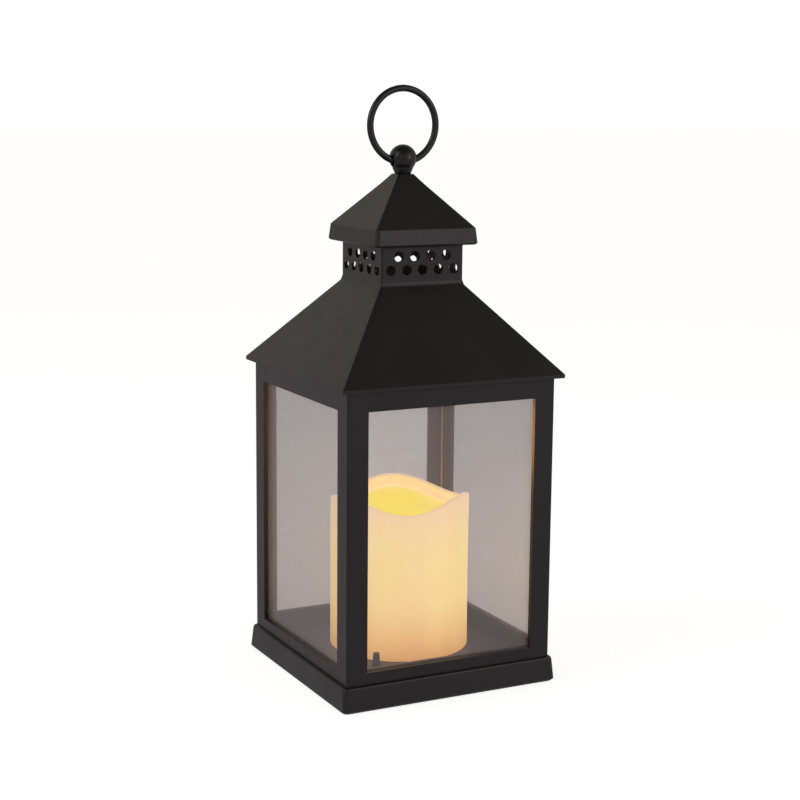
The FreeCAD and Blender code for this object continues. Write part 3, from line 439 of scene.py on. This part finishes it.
def candle_wall(angle, shoulder):
    """The outside, from the rounded foot up to just under the lip. It sinks in very slightly."""
    sag = WALL_SAG * (1 + math.sin(5 * angle + 1) * math.sin(2 * angle))
    start = CANDLE_FOOT + FOOT_ROUND
    points = arc(CANDLE_R - FOOT_ROUND, start, FOOT_ROUND, -90, 0, 4)
    for step in range(1, WALL_STEPS):
        share = step / WALL_STEPS
        points.append((CANDLE_R - sag * math.sin(math.pi * share),
                       start + share * (shoulder - start)))
    return points


def candle_bowl(rim):
    """The dish, from its edge under the lip down to the middle. The edge climbs with the rim."""
    edge_climb = rim - BOWL_DROP - BOWL_LOW - BOWL_RISE
    points = []
    for step in range(BOWL_STEPS):
        share = 1 - step / BOWL_STEPS
        climb = limited((share - BOWL_CLIMB_FROM) / (1 - BOWL_CLIMB_FROM)) ** 3
        points.append((BOWL_R * share, BOWL_LOW + BOWL_RISE * share ** 2 + edge_climb * climb))
    return points


def candle_loop(angle):
    """One slice of the candle: foot, wall, rounded lip, bowl, then back along the inside."""
    rim = rim_height(angle)
    shoulder = rim - LIP_OUT
    lip = arc(CANDLE_R - LIP_OUT, shoulder, LIP_OUT, 0, 90, 8)
    lip += arc(CANDLE_R - LIP_WIDE + LIP_IN, rim - LIP_IN, LIP_IN, 90, 180, 8)
    inside_r = CANDLE_R - WALL
    inside = [(0.0, BOWL_LOW), (0.0, BOWL_LOW - BOWL_THICK),
              (inside_r * 0.6, BOWL_LOW - 0.8 * BOWL_THICK),
              (inside_r, BOWL_LOW - 0.2 * BOWL_THICK), (inside_r, CANDLE_FOOT)]
    return candle_wall(angle, shoulder) + lip + candle_bowl(rim) + inside


def inwardness(point):
    """0 on the wall, rising over the lip, down the slope and into the bowl."""
    across = point.xy.length
    if across > CANDLE_R - LIP_OUT or point.z < BOWL_LOW - 0.1 * MM:
        return 0.0
    over_lip = limited((CANDLE_R - LIP_OUT - across) / (LIP_WIDE - LIP_OUT))
    drop = rim_height(math.atan2(point.y, point.x)) - point.z
    into_bowl = limited((BOWL_R - across) / (3 * MM))
    return 0.25 * over_lip + 0.05 * drop / MM + 0.3 * into_bowl


def add_candle():
    """The wax-look shell, with an 'inward' attribute for its colours."""
    piece = finished("candle", turned_mesh("candle", candle_loop, 240), "root", "candle_shell")
    inward = piece.data.attributes.new("inward", "FLOAT", "POINT")
    for vertex, value in zip(piece.data.vertices, inward.data):
        value.value = inwardness(vertex.co)


def add_ring():
    """The hanging ring: round wire bent to a circle, its butt joint hidden in the ball."""
    sides, steps = 24, 200
    low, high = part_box("hanging_ring")
    wire = (high.y - low.y) / 2
    radius = (high.x - low.x) / 2 - wire
    section = arc(radius, 0, wire, 0, 360 - 360 / sides, sides - 1)
    mesh = turned_mesh("ring", lambda angle: section, steps)
    upright = Matrix.Rotation(math.radians(90), 4, "X")
    mesh.transform(Matrix.Translation((low + high) / 2) @ upright)
    finished("ring", mesh, "ring", "hanging_ring")


# ---- floor, light and camera ---------------------------------------------------------

def aim(place, target, roll=0.0):
    """A rotation whose -Z axis looks from place to target, turned by roll about that axis."""
    back = (Vector(place) - Vector(target)).normalized()
    right = Vector((0, 0, 1)).cross(back).normalized()
    up = back.cross(right)
    turned = right * math.cos(roll) + up * math.sin(roll)
    return Matrix((turned, back.cross(turned), back)).transposed().to_4x4()


def add_camera():
    """The photograph's viewpoint: azimuth and elevation about a point near the lantern's middle."""
    azimuth, elevation, roll = math.radians(-27.053), math.radians(10.033), math.radians(0.522)
    middle = Vector((-1.8 * MM, -2.9 * MM, 124.3 * MM))
    distance = 770 * MM
    away = Vector((math.sin(azimuth) * math.cos(elevation),
                   -math.cos(azimuth) * math.cos(elevation),
                   math.sin(elevation)))
    place = middle + distance * away
    camera = bpy.data.objects.new("camera", bpy.data.cameras.new("camera"))
    camera.data.lens = 77.3
    camera.data.sensor_width = 36
    camera.data.clip_start = 10 * MM
    camera.matrix_world = Matrix.Translation(place) @ aim(place, middle, roll)
    scene.collection.objects.link(camera)
    scene.camera = camera


def softbox(name, place, target, wide, high, radiance, colour):
    """A rectangular area light whose face has the given brightness."""
    light = bpy.data.lights.new(name, "AREA")
    light.shape = "RECTANGLE"
    light.size, light.size_y = wide, high
    light.energy = radiance * math.pi * wide * high
    light.color = colour
    lamp = bpy.data.objects.new(name, light)
    lamp.matrix_world = Matrix.Translation(place) @ aim(place, target)
    lamp.visible_camera = False
    scene.collection.objects.link(lamp)


def add_studio_lights():
    """A warm key high on the left, a weak fill on the right and a low strip in front."""
    softbox("key_left", (-0.92, 0.05, 0.80), (0, 0, 0.16), 0.60, 0.60, 2.1, (1.0, 0.94, 0.85))
    softbox("fill_right", (0.66, -0.78, 0.82), (0, 0, 0.18), 0.34, 0.34, 0.9, (0.98, 0.97, 1.0))
    softbox("strip_front", (0.62, -1.10, 0.44), (0, 0, 0.20), 0.70, 0.16, 4.9, (1.0, 0.87, 0.98))


def add_candle_light():
    """The candle's warm light on the mouldings round it."""
    light = bpy.data.lights.new("candle_light", "POINT")
    light.energy = 0.28
    light.color = (1.0, 0.42, 0.13)
    light.shadow_soft_size = 20 * MM
    lamp = bpy.data.objects.new("candle_light", light)
    lamp.location = (0, 0, 102 * MM)
    lamp.visible_camera = False
    scene.collection.objects.link(lamp)
    lit = bpy.data.collections.new("lit_by_candle")
    for name in ("base_plinth", "wall_frame", "roof", "cap"):
        lit.objects.link(nodes[name])
    lamp.light_linking.receiver_collection = lit


def pale_floor():
    """Matt and pale, with a glow that lifts it towards the room's white. Clear from below."""
    shade = Shade("pale_floor")
    matt = shade.node("BsdfDiffuse", {"Color": (0.50, 0.50, 0.50)}).outputs[0]
    lift = shade.node("Emission", {"Color": (1, 1, 1), "Strength": 0.83}).outputs[0]
    both = shade.node("AddShader", {0: matt, 1: lift}).outputs[0]
    under = shade.node("NewGeometry").outputs["Backfacing"]
    clear = shade.node("BsdfTransparent").outputs[0]
    return shade.done(shade.mix_shaders(under, both, clear))


def add_floor():
    """A wide floor that takes a soft shadow. It lies a hair below the feet's undersides, so that
    the two aren't drawn in the same plane."""
    reach, low = 12.0, -0.05 * MM
    corners = [(-reach, -reach, low), (reach, -reach, low), (reach, reach, low),
               (-reach, reach, low)]
    mesh = bpy.data.meshes.new("floor")
    mesh.from_pydata(corners, [], [(0, 1, 2, 3)])
    mesh.materials.append(pale_floor())
    floor = bpy.data.objects.new("floor", mesh)
    scene.collection.objects.link(floor)
    floor.visible_diffuse = False
    floor.visible_glossy = False


ROOM_COLOURS = [
    (0.00, (0.36, 0.33, 0.36)),
    (0.39, (0.54, 0.485, 0.52)),
    (0.50, (0.48, 0.44, 0.44)),
    (0.74, (0.58, 0.54, 0.49)),
    (0.90, (0.16, 0.15, 0.15)),
]


def add_room():
    """A white room to the eye, and a dimmer one for lighting, darker overhead."""
    shade = Shade("room", bpy.data.worlds, "World")
    direction = shade.node("TexCoord").outputs["Generated"]
    height = shade.spread(shade.along("Z", direction), 0, 1, -1, 1)
    lighting = shade.node("Background", {"Color": shade.ramp(height, ROOM_COLOURS)}).outputs[0]
    seen = shade.node("Background", {"Color": (1, 1, 1), "Strength": 1.05}).outputs[0]
    to_the_eye = shade.node("LightPath").outputs["Is Camera Ray"]
    scene.world = shade.done(shade.mix_shaders(to_the_eye, lighting, seen))


dress_packed_parts()
add_candle()
add_ring()
add_floor()
add_room()
add_studio_lights()
add_candle_light()
add_camera()
scene.view_settings.view_transform = "Standard"
